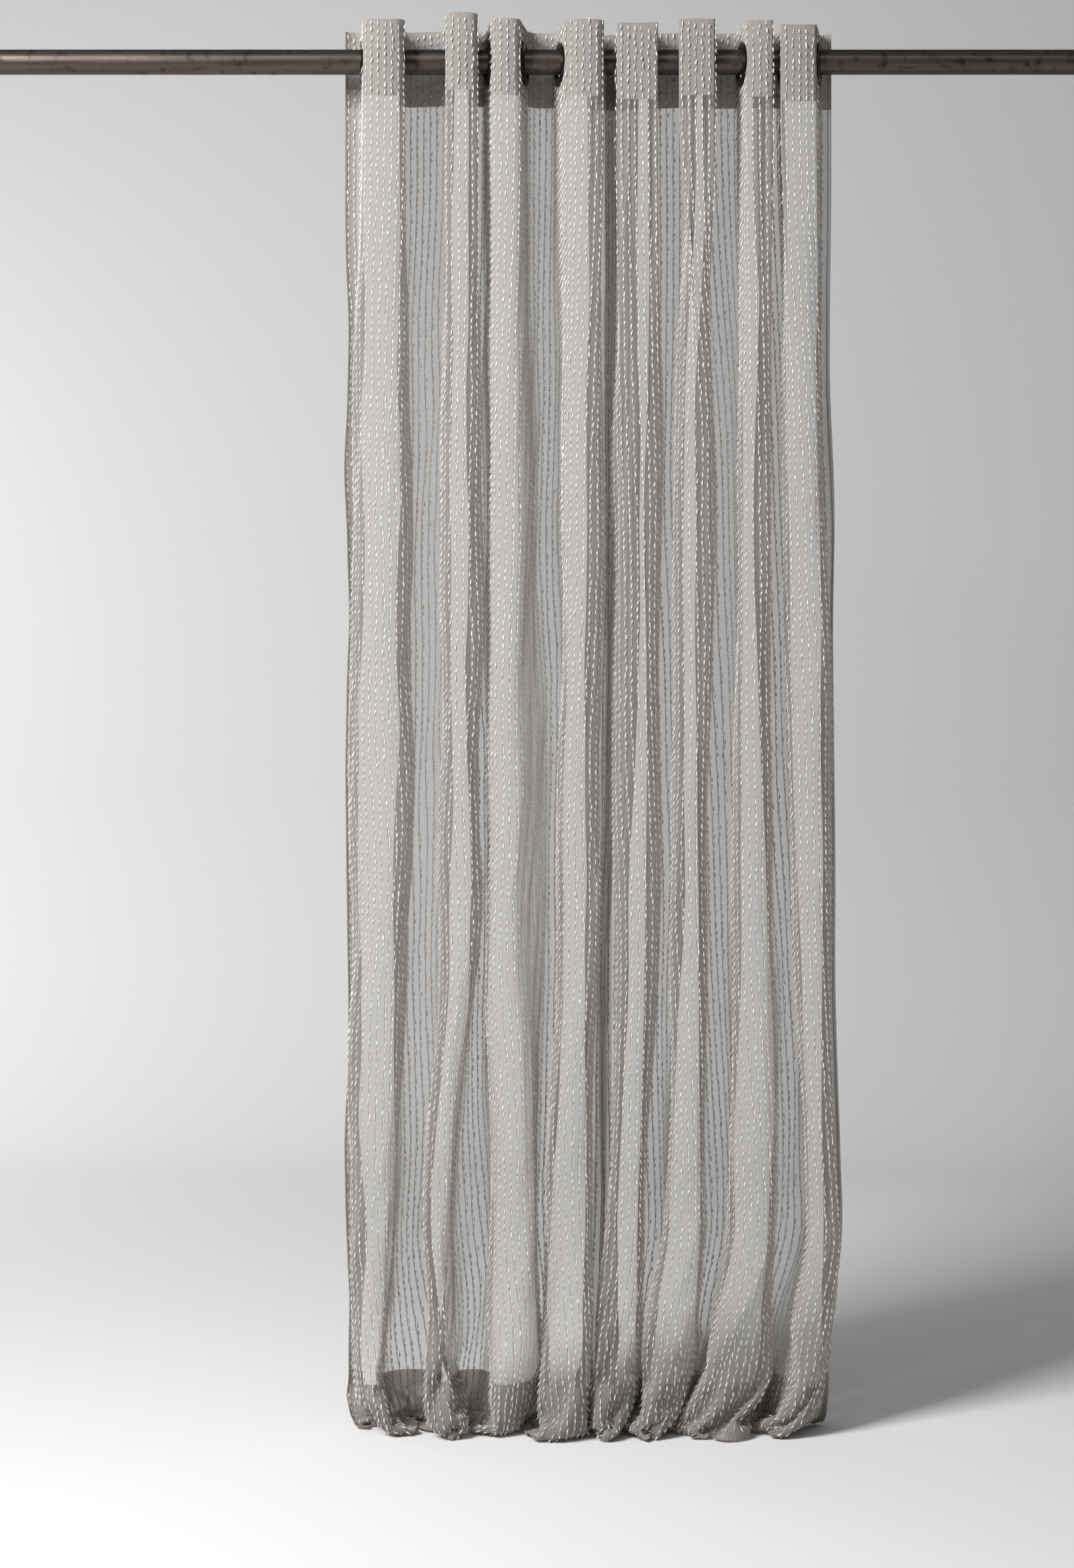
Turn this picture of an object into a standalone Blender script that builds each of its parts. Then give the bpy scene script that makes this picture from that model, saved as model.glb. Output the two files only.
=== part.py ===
"""Curtain pole with two gathered eyelet curtain panels.

Metres, +X right along the pole, +Y back towards the wall, +Z up. The origin is on the wall face, level with the
pole's axis and midway between the two brackets. The curtains' long hems reach the floor below.
"""
import math

import bmesh
import bpy
import numpy as np
from mathutils import Matrix

# ---- pole, caps and brackets
POLE_RADIUS = 0.0175
POLE_WALL = 0.0015
POLE_SEGMENTS = 32
POLE_LENGTH = 1.900
PROJECTION = 0.150          # wall face to the pole's axis
BRACKET_X = 0.890           # from the middle to each bracket
CAP_RADIUS = 0.0205
CAP_LENGTH = 0.012
SPIGOT_LENGTH = 0.025
PLUG_CLEARANCE = 0.0003
PLATE_WIDTH = 0.032
PLATE_HEIGHT = 0.100
PLATE_THICKNESS = 0.005
ARM_SIDE = 0.015
CRADLE_WALL = 0.0042
CRADLE_WIDTH = 0.022
CRADLE_SEAT = 0.0003        # between the pole and the cradle it lies in
CRADLE_LIP = 0.007          # the cradle's front and back lips above the pole's axis
SCREW_RADIUS = 0.0020
SCREW_HEAD_RADIUS = 0.0042
SCREW_PITCH = 0.072
SCREW_SEGMENTS = 16
GAP = 0.0003                # between two pieces that touch

# ---- grommets: a front ring with its barrel, and the back ring it is pressed into, with the cloth between
HOLE_RADIUS = 0.0210
BARREL_WALL = 0.0009
FLANGE_RADIUS = 0.0310
FLANGE_RISE = 0.0016
RING_SEGMENTS = 24
RING_SEAT = 0.0003          # the top of the hole above the pole it hangs on

# ---- curtains: two panels, each with eight grommets
CLOTH = 0.0012
HEADING = 0.055             # the cloth's top edge above the pole's axis, and the flat zone below it
FLOOR_DROP = 1.940          # from the pole's axis to the floor
STACK_WIDTH = 0.649         # from the first grommet to the last
GROMMETS_PER_PANEL = 8
PITCH_SHARES = (56, 70, 30, 22.5, 52.5, 49.5, 52.5, 44, 37, 50, 28, 47, 35, 22, 53)
RING_TILTS = (4, 3, -2, 8, 10, -9, 12, -2, 3, 2, 4, 1, 9, 3, 3, -10)   # degrees about the upright
EDGE_FLAP = 0.030           # cloth beyond the outer grommets, turned along the back
FOLD_DEPTH = 0.0385         # from the pole's axis to the fronts and backs of the folds, at the heading
FLAP_OFFSET = 0.007         # the right panel's inner edge lies this far behind the left panel's
FRONT_SPREAD = 0.120        # how far the folds reach forward at the floor
BACK_SPREAD = 0.130         # and back towards the wall
SEAT_DEPTH = 0.0325         # half the straight cloth that a grommet needs

PARTS = "curtains_on_a_pole"


def clear_scene():
    for item in list(bpy.data.objects):
        bpy.data.objects.remove(item, do_unlink=True)
    for name in (PARTS, "cutters"):
        holder = bpy.data.collections.new(name)
        bpy.context.scene.collection.children.link(holder)


def material(name, colour, roughness, metallic):
    """A plain material with this sRGB hex colour."""
    made = bpy.data.materials.new(name)
    made.use_nodes = True
    shader = made.node_tree.nodes["Principled BSDF"]
    parts = [int(colour[i : i + 2], 16) / 255 for i in (1, 3, 5)]
    linear = [c / 12.92 if c <= 0.04045 else ((c + 0.055) / 1.055) ** 2.4 for c in parts]
    shader.inputs["Base Color"].default_value = (*linear, 1)
    shader.inputs["Roughness"].default_value = roughness
    shader.inputs["Metallic"].default_value = metallic
    made.diffuse_color = (*linear, 1)
    return made


def add(name, mesh, finish, collection=PARTS):
    obj = bpy.data.objects.new(name, mesh)
    bpy.data.collections[collection].objects.link(obj)
    if finish:
        mesh.materials.append(finish)
    if collection == "cutters":
        obj.hide_render = True
        obj.display_type = "WIRE"
    return obj


def smooth(obj, angle=math.radians(35)):
    """Smooth faces with sharp edges kept where two faces meet at more than this angle."""
    mesh = obj.data
    for face in mesh.polygons:
        face.use_smooth = True
    mesh.set_sharp_from_angle(angle=angle)


def lathe(name, profile, segments, finish):
    """A profile of (along, radius) points turned about local X.

    The profile runs along its outer side from +X to -X. It starts and ends on the axis, or it closes on itself."""
    mesh = bpy.data.meshes.new(name)
    count = len(profile)
    loops = 0 if profile[0][1] == 0 else 1
    edges = [(k, (k + 1) % count) for k in range(count - 1 + loops)]
    mesh.from_pydata([(along, radius, 0) for along, radius in profile], edges, [])
    obj = add(name, mesh, finish)
    turn = obj.modifiers.new("turned", "SCREW")
    turn.axis = "X"
    turn.steps = segments
    turn.render_steps = segments
    turn.use_smooth_shade = True
    turn.use_merge_vertices = True
    turn.merge_threshold = 0.00001
    return obj


def bore_cutter(name, radius, length, segments):
    """A plain cylinder along local X, for cutting a hole."""
    work = bmesh.new()
    bmesh.ops.create_cone(
        work,
        cap_ends=True,
        segments=segments,
        radius1=radius,
        radius2=radius,
        depth=length,
        matrix=Matrix.Rotation(math.pi / 2, 4, "Y"),
    )
    mesh = bpy.data.meshes.new(name)
    work.to_mesh(mesh)
    work.free()
    return add(name, mesh, None, "cutters")


def block(name, size, centre, finish, rounding=0.0):
    work = bmesh.new()
    bmesh.ops.create_cube(work, size=1.0, matrix=Matrix.Diagonal((*size, 1)))
    mesh = bpy.data.meshes.new(name)
    work.to_mesh(mesh)
    work.free()
    obj = add(name, mesh, finish)
    obj.location = centre
    if rounding:
        bevel = obj.modifiers.new("rounding", "BEVEL")
        bevel.width = rounding
        bevel.segments = 2
    return obj


def cut(obj, cutter):
    hole = obj.modifiers.new(cutter.name, "BOOLEAN")
    hole.operation = "DIFFERENCE"
    hole.solver = "EXACT"
    hole.object = cutter


def put(obj, location, turn_z=0.0):
    obj.location = location
    obj.rotation_euler = (0, 0, turn_z)
    return obj


def pole(finish):
    """A steel tube, left open at both ends for the caps."""
    half = POLE_LENGTH / 2
    inner = POLE_RADIUS - POLE_WALL
    ease = 0.0004
    profile = [(half, inner), (half, POLE_RADIUS - ease), (half - ease, POLE_RADIUS)]
    profile += [(-half + ease, POLE_RADIUS), (-half, POLE_RADIUS - ease), (-half, inner)]
    tube = lathe("pole", profile, POLE_SEGMENTS, finish)
    return put(tube, (0, -PROJECTION, 0))


def end_cap(side, finish):
    """A turned cap with a spigot that plugs into the tube."""
    plug = POLE_RADIUS - POLE_WALL - PLUG_CLEARANCE
    profile = [
        (CAP_LENGTH, 0.0),
        (CAP_LENGTH, CAP_RADIUS * 0.72),
        (CAP_LENGTH * 0.75, CAP_RADIUS),
        (CAP_LENGTH * 0.20, CAP_RADIUS),
        (GAP, CAP_RADIUS - 0.0015),
        (GAP, plug),
        (0.001 - SPIGOT_LENGTH, plug),
        (-SPIGOT_LENGTH, plug - 0.001),
        (-SPIGOT_LENGTH, 0.0),
    ]
    name = "end_cap_right" if side > 0 else "end_cap_left"
    cap = lathe(name, profile, POLE_SEGMENTS, finish)
    return put(cap, (side * POLE_LENGTH / 2, -PROJECTION, 0), 0 if side > 0 else math.pi)


def cradle_outline():
    """The open-topped seat seen along the pole: (y, z) points about the pole's axis."""
    inner = (POLE_RADIUS + CRADLE_SEAT) / math.cos(math.pi / 24)
    outer = inner + CRADLE_WALL
    turns = np.linspace(math.pi, 2 * math.pi, 17)
    inside = [(inner * math.cos(t), inner * math.sin(t)) for t in turns]
    inside = [(-inner, CRADLE_LIP)] + inside + [(inner, CRADLE_LIP)]
    pad = ARM_SIDE / 2
    below = -outer - 0.002
    low = math.asin(pad / outer)
    left = np.linspace(math.pi, 1.5 * math.pi - low, 6)
    right = np.linspace(1.5 * math.pi + low, 2 * math.pi, 6)
    outside = [(outer * math.cos(t), outer * math.sin(t)) for t in left]
    outside += [(-pad, below), (pad, below)]
    outside += [(outer * math.cos(t), outer * math.sin(t)) for t in right]
    return [(-outer, CRADLE_LIP)] + outside + [(outer, CRADLE_LIP)] + inside[::-1], below


def extrusion(name, outline, width, finish):
    """The flat (y, z) outline drawn out to this width along X, as a mesh."""
    curve = bpy.data.curves.new(name, "CURVE")
    curve.dimensions = "2D"
    curve.fill_mode = "BOTH"
    curve.extrude = width / 2
    spline = curve.splines.new("POLY")
    spline.points.add(len(outline) - 1)
    for point, (y, z) in zip(spline.points, outline):
        point.co = (y, z, 0, 1)
    spline.use_cyclic_u = True
    flat = bpy.data.objects.new(name + "_outline", curve)
    mesh = bpy.data.meshes.new_from_object(flat)
    bpy.data.objects.remove(flat)
    mesh.transform(Matrix.Rotation(math.pi / 2, 4, "Z") @ Matrix.Rotation(math.pi / 2, 4, "X"))
    work = bmesh.new()
    work.from_mesh(mesh)
    bmesh.ops.remove_doubles(work, verts=work.verts, dist=0.00001)
    work.to_mesh(mesh)
    work.free()
    obj = add(name, mesh, finish)
    smooth(obj)
    return obj


def screw(name, head_radius, head_height, shank, finish):
    """A pan head with its shank: the head's underside is at local zero and the shank runs to -X."""
    profile = [
        (head_height, 0.0),
        (head_height, head_radius * 0.55),
        (head_height * 0.45, head_radius),
        (0.0, head_radius),
        (0.0, SCREW_RADIUS),
        (-shank + SCREW_RADIUS, SCREW_RADIUS),
        (-shank, SCREW_RADIUS * 0.3),
        (-shank, 0.0),
    ]
    return lathe(name, profile, SCREW_SEGMENTS, finish)


def bracket(side, finish, steel):
    tag = "right" if side > 0 else "left"
    x = side * BRACKET_X
    outline, below = cradle_outline()
    arm_z = below - GAP - ARM_SIDE / 2
    plate = block(
        f"wall_plate_{tag}",
        (PLATE_WIDTH, PLATE_THICKNESS, PLATE_HEIGHT),
        (x, -PLATE_THICKNESS / 2, arm_z),
        finish,
        0.0012,
    )
    near = -PLATE_THICKNESS - GAP
    far = -PROJECTION - ARM_SIDE * 0.6
    block(
        f"arm_{tag}",
        (ARM_SIDE, near - far, ARM_SIDE),
        (x, (near + far) / 2, arm_z),
        finish,
        0.0012,
    )
    cradle = put(extrusion(f"cradle_{tag}", outline, CRADLE_WIDTH, finish), (x, -PROJECTION, 0))
    # The locking screw goes through the front lip and bears on the pole.
    tip = POLE_RADIUS + GAP
    reach = CRADLE_WALL + 0.0050
    lock = screw(f"lock_screw_{tag}", 0.0055, 0.006, reach, steel)
    lock.rotation_euler = (0, 0, -math.pi / 2)
    lock.location = (x, -PROJECTION - tip - reach, 0)
    bore = bore_cutter(f"lock_bore_{tag}", SCREW_RADIUS + GAP, 0.020, SCREW_SEGMENTS)
    bore.rotation_euler = (0, 0, -math.pi / 2)
    bore.location = (x, -PROJECTION - POLE_RADIUS - 0.010, 0)
    cut(cradle, bore)
    for end, word in ((1, "upper"), (-1, "lower")):
        z = arm_z + end * SCREW_PITCH / 2
        fixing = screw(f"wall_screw_{tag}_{word}", SCREW_HEAD_RADIUS, 0.0028, PLATE_THICKNESS - GAP, steel)
        fixing.rotation_euler = (0, 0, -math.pi / 2)
        fixing.location = (x, -PLATE_THICKNESS - GAP, z)
        hole = bore_cutter(
            f"fixing_hole_{tag}_{word}", SCREW_RADIUS + GAP, 3 * PLATE_THICKNESS, SCREW_SEGMENTS
        )
        hole.rotation_euler = (0, 0, -math.pi / 2)
        hole.location = (x, -PLATE_THICKNESS / 2, z)
        cut(plate, hole)


def grommet_x():
    """The grommets' places along the pole."""
    steps = np.cumsum((0,) + PITCH_SHARES) / sum(PITCH_SHARES)
    return (steps - 0.5) * STACK_WIDTH


RING_DROP = HOLE_RADIUS * math.cos(math.pi / RING_SEGMENTS) - POLE_RADIUS - RING_SEAT


def ring_turn(index):
    """A grommet's angle about the upright: its front faces -X where the cloth comes forward, +X where it goes back."""
    return math.radians(RING_TILTS[index]) + (math.pi if index % 2 == 0 else 0)


def grommet(index, x, finish):
    side = CLOTH / 2 + GAP
    lip = side + FLANGE_RISE
    barrel = HOLE_RADIUS + BARREL_WALL
    front = [
        (side, FLANGE_RADIUS),
        (side, barrel),
        (-lip, barrel),
        (-lip, HOLE_RADIUS),
        (side + 0.0009, HOLE_RADIUS),
        (lip + 0.0006, HOLE_RADIUS + 0.0026),
        (side + 0.0009, FLANGE_RADIUS),
    ]
    back = [
        (-side, FLANGE_RADIUS - 0.001),
        (-side - 0.0007, FLANGE_RADIUS - 0.001),
        (-lip + 0.0002, HOLE_RADIUS + 0.0050),
        (-lip, barrel + GAP),
        (-side, barrel + GAP),
    ]
    place = (x, -PROJECTION, -RING_DROP)
    for word, profile in (("front", front), ("back", back)):
        ring = lathe(f"grommet_{index + 1:02d}_{word}", profile, RING_SEGMENTS, finish)
        put(ring, place, ring_turn(index))


def planform(first, places, front, back, widen):
    """The panel's line seen from above, as (x, y) points: straight through each grommet, round each fold.

    first is the panel's first grommet; front and back are the folds' depths; widen spreads them about x = 0."""
    line = []
    count = len(places)
    for k, x in enumerate(places):
        index = first + k
        forward = index % 2 == 0
        tilt = math.tan(math.radians(RING_TILTS[index]))
        lean = SEAT_DEPTH * tilt
        enter, leave = (1, -1) if forward else (-1, 1)
        depth = {1: back, -1: front}
        if k == 0:
            outer = x - EDGE_FLAP if enter > 0 else x
            push = FLAP_OFFSET if first else 0.0
            line.append((outer, enter * (depth[enter] + push)))
            line.append((x - EDGE_FLAP * 0.3, enter * (depth[enter] + push)))
        for way in (enter, leave):
            line.append((x - way * lean, way * SEAT_DEPTH * depth[way] / FOLD_DEPTH))
        if k == count - 1:
            line.append((x + EDGE_FLAP * 0.3, leave * depth[leave]))
            line.append((x + EDGE_FLAP, leave * depth[leave]))
        else:
            gap = places[k + 1] - x
            crest = leave * depth[leave]
            line.append((x + gap * 0.16, crest * 0.975))
            line.append((x + gap * 0.50, crest * 1.0))
            line.append((x + gap * 0.84, crest * 0.975))
    return [(x * widen, y - PROJECTION) for x, y in line]


def levels():
    """(height, front depth, back depth, widening) for each row of the cloth, from the top edge to the floor."""
    reach = FLOOR_DROP - HEADING
    rows = [(HEADING, FOLD_DEPTH, FOLD_DEPTH, 1.0), (-HEADING, FOLD_DEPTH, FOLD_DEPTH, 1.0)]
    for share, spread in ((0.12, 0.06), (0.40, 0.15), (0.72, 0.30), (0.90, 0.55)):
        front = FOLD_DEPTH + (FRONT_SPREAD - FOLD_DEPTH) * spread
        back = FOLD_DEPTH + (BACK_SPREAD - FOLD_DEPTH) * spread
        rows.append((-HEADING - reach * share, front, back, 1 + 0.01 * spread))
    rows.append((-FLOOR_DROP + CLOTH, FRONT_SPREAD, BACK_SPREAD, 1.01))
    return rows


def panel(name, first, finish):
    """One gathered panel: a folded sheet with a round hole for each grommet."""
    places = grommet_x()[first : first + GROMMETS_PER_PANEL]
    grid = []
    for height, front, back, widen in levels():
        grid.append([(x, y, height) for x, y in planform(first, places, front, back, widen)])
    across = len(grid[0])
    points = [p for row in grid for p in row]
    faces = []
    for r in range(len(grid) - 1):
        for c in range(across - 1):
            a = r * across + c
            faces.append((a, a + across, a + across + 1, a + 1))
    mesh = bpy.data.meshes.new(name)
    mesh.from_pydata(points, [], faces)
    sheet = add(name, mesh, finish)
    smooth(sheet)
    skin = sheet.modifiers.new("thickness", "SOLIDIFY")
    skin.thickness = CLOTH
    skin.offset = 0
    skin.use_even_offset = True
    radius = HOLE_RADIUS + BARREL_WALL + GAP
    for k, x in enumerate(places):
        index = first + k
        hole = bore_cutter(f"grommet_hole_{index + 1:02d}", radius, 10 * CLOTH, RING_SEGMENTS)
        put(hole, (x, -PROJECTION, -RING_DROP), ring_turn(index))
        cut(sheet, hole)
    return sheet


clear_scene()
BRONZE = material("bronze_patina", "#3B2C24", 0.45, 0.8)
DARK_BRONZE = material("dark_bronze", "#2A2420", 0.35, 0.9)
STEEL = material("blackened_steel", "#3A3836", 0.40, 1.0)
GAUZE = material("grey_gauze", "#A9A7A5", 0.9, 0.0)

pole(BRONZE)
for SIDE in (-1, 1):
    end_cap(SIDE, BRONZE)
    bracket(SIDE, BRONZE, STEEL)
for INDEX, PLACE in enumerate(grommet_x()):
    grommet(INDEX, PLACE, DARK_BRONZE)
panel("left_panel", 0, GAUZE)
panel("right_panel", GROMMETS_PER_PANEL, GAUZE)
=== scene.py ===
"""Two sheer grommet curtain panels gathered on a bronze pole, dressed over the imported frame."""

import math

import bpy
import numpy as np
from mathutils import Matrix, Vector


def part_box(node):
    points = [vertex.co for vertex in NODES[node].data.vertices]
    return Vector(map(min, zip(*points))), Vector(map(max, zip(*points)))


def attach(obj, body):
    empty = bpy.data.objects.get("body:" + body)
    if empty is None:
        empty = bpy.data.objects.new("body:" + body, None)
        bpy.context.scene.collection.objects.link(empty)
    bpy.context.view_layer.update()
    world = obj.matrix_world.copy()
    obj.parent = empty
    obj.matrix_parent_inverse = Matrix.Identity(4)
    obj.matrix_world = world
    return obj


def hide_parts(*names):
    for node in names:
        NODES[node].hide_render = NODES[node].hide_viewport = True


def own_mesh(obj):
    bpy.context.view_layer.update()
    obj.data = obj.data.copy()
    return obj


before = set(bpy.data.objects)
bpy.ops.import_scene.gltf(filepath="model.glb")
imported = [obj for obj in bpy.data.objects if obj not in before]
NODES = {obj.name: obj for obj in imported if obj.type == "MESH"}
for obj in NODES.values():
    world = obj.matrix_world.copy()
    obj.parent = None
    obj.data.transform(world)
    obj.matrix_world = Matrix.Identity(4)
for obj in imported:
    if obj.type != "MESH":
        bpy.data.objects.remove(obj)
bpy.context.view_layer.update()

# ---------------------------------------------------------------------------------------------------------------
# The hanging cloth. Each panel is one width of loosely woven gauze. Eight grommets gather it into round upright
# folds, and it is cut a few centimetres too long, so it bellies out and breaks where the hem meets the floor.
MM = 0.001
PANEL_WIDTH = 1.067
PANEL_LENGTH = 2.018
GROMMET_COUNT = 8           # grommets in each panel
FLAT_ZONE = 0.0325          # the cloth is straight this far each side of a grommet's centre, to clear its ring
POLE_LOW, POLE_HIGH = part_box("pole")
POLE_Y = (POLE_LOW.y + POLE_HIGH.y) / 2
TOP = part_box("left_panel")[1].z
FLOOR = -1.940

# The folds' middles and widths, in millimetres from the curtain's middle, at six depths below the pole.
LEVELS = (0.055, 0.580, 1.180, 1.640, 1.800, 1.940)
FRONT_FOLDS = (
    ((-291, 62), (-295, 86), (-297, 90), (-310, 63), (-305, 57), (-289, 63)),
    ((-182, 49), (-182, 60), (-184, 57), (-215, 36), (-202, 26), (-197, 37)),
    ((-119, 41), (-117, 46), (-120, 50), (-107, 60), (-106, 60), (-105, 62)),
    ((-5, 50), (-9, 57), (-17, 60), (-30, 66), (-31, 78), (-32, 80)),
    ((65, 64), (66, 74), (65, 66), (47, 45), (36, 45), (35, 46)),
    ((150, 56), (147, 59), (139, 52), (130, 60), (106, 70), (93, 58)),
    ((243, 33), (231, 46), (228, 58), (223, 66), (204, 88), (189, 110)),
    ((289, 48), (301, 58), (312, 60), (328, 36), (297, 54), (279, 50)),
)
BACK_FOLDS = (
    ((-338, 26), (-336, 24), (-340, 18), (-335, 26), (-344, 22), (-345, 22)),
    ((-234, 82), (-236, 77), (-238, 86), (-252, 60), (-247, 68), (-242, 66)),
    ((-162, 21), (-163, 30), (-160, 30), (-168, 56), (-163, 58), (-164, 54)),
    ((-67, 34), (-60, 44), (-50, 30), (-70, 24), (-74, 18), (-72, 16)),
    ((33, 77), (33, 80), (26, 70), (16, 46), (15, 46), (11, 46)),
    ((118, 74), (107, 58), (106, 60), (90, 40), (68, 18), (64, 14)),
    ((186, 54), (183, 72), (185, 66), (182, 50), (156, 32), (134, 20)),
    ((253, 46), (259, 52), (274, 44), (290, 56), (259, 22), (252, 14)),
    ((336, 20), (336, 20), (344, 19), (339, 28), (326, 18), (312, 12)),
)
FRONT_REACH = (43, 44, 45, 55, 72, 94)       # the folds' fronts ahead of the pole's axis, level by level, in mm
BACK_REACH = (42, 41, 40, 38, 32, 22)
# How far each fold's top edge stands above the line of its grommets, in mm.
FRONT_LIFT = (-7, 3, -6, -7, -9, -3, -5, -12)
BACK_LIFT = (0, 1, 1, -1, -4, -3, -4, -3, -6)
FLOOR_REACH = (0.95, 1.12, 0.9, 1.15, 1.05, 1.05, 1.15, 1.0)   # each front fold's share of the reach at the floor
ROUNDING = (2.5, 3.5, 4.0, 4.5, 5.5, 6.5)    # how softly the folds turn, level by level, in mm
FLAP_GAP = 7                # the right panel's inner edge lies this far behind the left panel's, in mm


def grommet_centres(side):
    """The panel's grommets, from its left to its right."""
    start = 0 if side == "left" else GROMMET_COUNT
    boxes = [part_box(f"grommet_{k + 1:02d}_back") for k in range(start, start + GROMMET_COUNT)]
    return [(low + high) / 2 for low, high in boxes]


def fold_arc(fold, level, depth, part=(0.0, 1.0)):
    """A fold's rounded crown as (x, depth) corners: half an ellipse across the fold's width.

    Depth falls from the crown by arc (1 - sqrt(1 - u^2)), u running from -1 to 1 across the width. Part keeps a
    share of it, for a panel's edge that ends within a fold."""
    middle, width = fold[level]
    arc = min(0.44 * width, 0.8 * abs(depth)) if level else min(0.24 * width, abs(depth) - FLAT_ZONE / MM)
    share = np.linspace(*part, 7)
    fall = 1 - np.sqrt(np.clip(1 - (2 * share - 1) ** 2, 0, 1))
    return np.stack([middle + (share - 0.5) * width, depth - math.copysign(arc, depth) * fall], 1) * MM


# The CAD rings' turn about the upright, in degrees: the cloth passes square through them.
RING_TILTS = (4, 3, -2, 8, 10, -9, 12, -2, 3, 2, 4, 1, 9, 3, 3, -10)


def fold_line(side, level, stretch=1.0):
    """The panel's line at one level, as (x, depth) corners, depth being behind the pole's axis.

    Crowns front and back in turn, joined by walls. At the heading each wall runs straight through its grommet.
    Stretch deepens the folds, at the heading only past the grommets' flat cloth."""
    first = 0 if side == "left" else GROMMET_COUNT
    half = first // 2
    flat = FLAT_ZONE / MM if level == 0 else 0.0
    front = flat + (FRONT_REACH[level] - flat) * stretch
    back = flat + (BACK_REACH[level] - flat) * stretch
    low = min(1.0, max(0.0, (level - 2) / 3))
    push = FLAP_GAP if first else 0.0
    lap = 0.38 - 0.2 * low
    line = [fold_arc(BACK_FOLDS[half], level, back + push, (lap, 1.0) if first else (0.0, 1.0))]
    for k, centre in enumerate(grommet_centres(side)):
        way = 1 if k % 2 == 0 else -1
        if level == 0:
            slope = -math.tan(math.radians(RING_TILTS[first + k]))
            line.append(np.array([(centre.x + end * FLAT_ZONE * slope, end * FLAT_ZONE) for end in (way, -way)]))
        if way > 0:
            fold = half + k // 2
            line.append(fold_arc(FRONT_FOLDS[fold], level, -front * (1 + (FLOOR_REACH[fold] - 1) * low)))
        else:
            last = k == GROMMET_COUNT - 1 and first == 0
            part = (0.0, 0.94 - lap) if last else (0.0, 1.0)
            line.append(fold_arc(BACK_FOLDS[half + k // 2 + 1], level, back, part))
    return np.concatenate(line)


def length_of(line):
    """The sum of the distances from each corner to the next."""
    return np.linalg.norm(np.diff(line, axis=0), axis=1).sum()


def resampled(line, shares):
    """The line's points at these shares of its length."""
    along = np.append(0, np.cumsum(np.linalg.norm(np.diff(line, axis=0), axis=1)))
    return np.stack([np.interp(shares * along[-1], along, line[:, k]) for k in (0, 1)], 1)


def rounded(line, softness):
    """The line with its corners rounded: a bell-shaped moving average along its length."""
    count = 2400
    width = softness / length_of(line) * count
    line = resampled(line, np.linspace(0, 1, count))
    reach = int(3 * width)
    bell = np.exp(-0.5 * (np.arange(-reach, reach + 1) / width) ** 2)
    before = 2 * line[0] - line[reach:0:-1]
    after = 2 * line[-1] - line[-2 : -reach - 2 : -1]
    longer = np.concatenate([before, line, after])
    return np.stack([np.convolve(longer[:, k], bell / bell.sum(), "valid") for k in (0, 1)], 1)


def fitted_line(side, level):
    """The rounded line whose folds are just deep enough to take up the panel's width, found by halving."""
    low, high = 0.3, 3.0
    for _ in range(14):     # 14 halvings bring the width within a tenth of a millimetre
        stretch = (low + high) / 2
        line = rounded(fold_line(side, level, stretch), ROUNDING[level] * MM)
        low, high = (stretch, high) if length_of(line) < PANEL_WIDTH else (low, stretch)
    return line


def eased(heights, knots, values):
    """A smooth curve through the knots that never overshoots: cubic pieces whose slope is the harmonic mean of the
    slopes on either side, and zero where those disagree. Heights and knots fall."""
    knots = -np.array(knots)
    steps = np.diff(knots)
    slopes = np.diff(values, axis=0) / steps[:, None, None]
    a, b = slopes[:-1], slopes[1:]
    both = np.where(a * b > 0, 2 * a * b / np.where(a + b == 0, 1, a + b), 0)
    tangent = np.concatenate([slopes[:1] * 0, both, slopes[-1:]])
    place = np.clip(np.searchsorted(knots, -heights, side="right") - 1, 0, len(steps) - 1)
    gap = steps[place]
    t = (np.clip((-heights - knots[place]) / gap, 0, 1))[:, None, None]
    gap = gap[:, None, None]
    from_a = (1 + 2 * t) * (1 - t) ** 2 * values[place] + t * (1 - t) ** 2 * gap * tangent[place]
    to_b = t * t * (3 - 2 * t) * values[place + 1] + t * t * (t - 1) * gap * tangent[place + 1]
    return from_a + to_b


def smoothstep(low, high, value):
    """0 below low and 1 above high, with t^2 (3 - 2 t) between."""
    t = np.clip((value - low) / (high - low), 0, 1)
    return t * t * (3 - 2 * t)


def ripple(across, down, seed, waves, lengths):
    """Loose undulation: a sum of sines whose wavelengths across and down the cloth lie in the two ranges.

    It is divided by the square root of their number, so that its size doesn't depend on it."""
    chance = np.random.default_rng(seed)
    total = 0
    for _ in range(waves):
        per_across = 1 / chance.uniform(*lengths[0])
        per_down = 1 / chance.uniform(*lengths[1])
        turn = chance.uniform(0, 2 * math.pi)
        total = total + np.sin(2 * math.pi * (across * per_across + down * per_down) + turn)
    return total / math.sqrt(waves)


CREASES = (0.675, 1.035, 1.225, 1.755)       # where the folded packet left its lines, down from the top edge
CREASE_DEPTH, PUCKER_DEPTH = 2.8, 1.3        # in mm
SETTLE_FROM = 1.42                           # the cloth is free to settle below here, down from the top edge
HEM_REST = 0.004                             # the hem's middle above the floor before it settles


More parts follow.
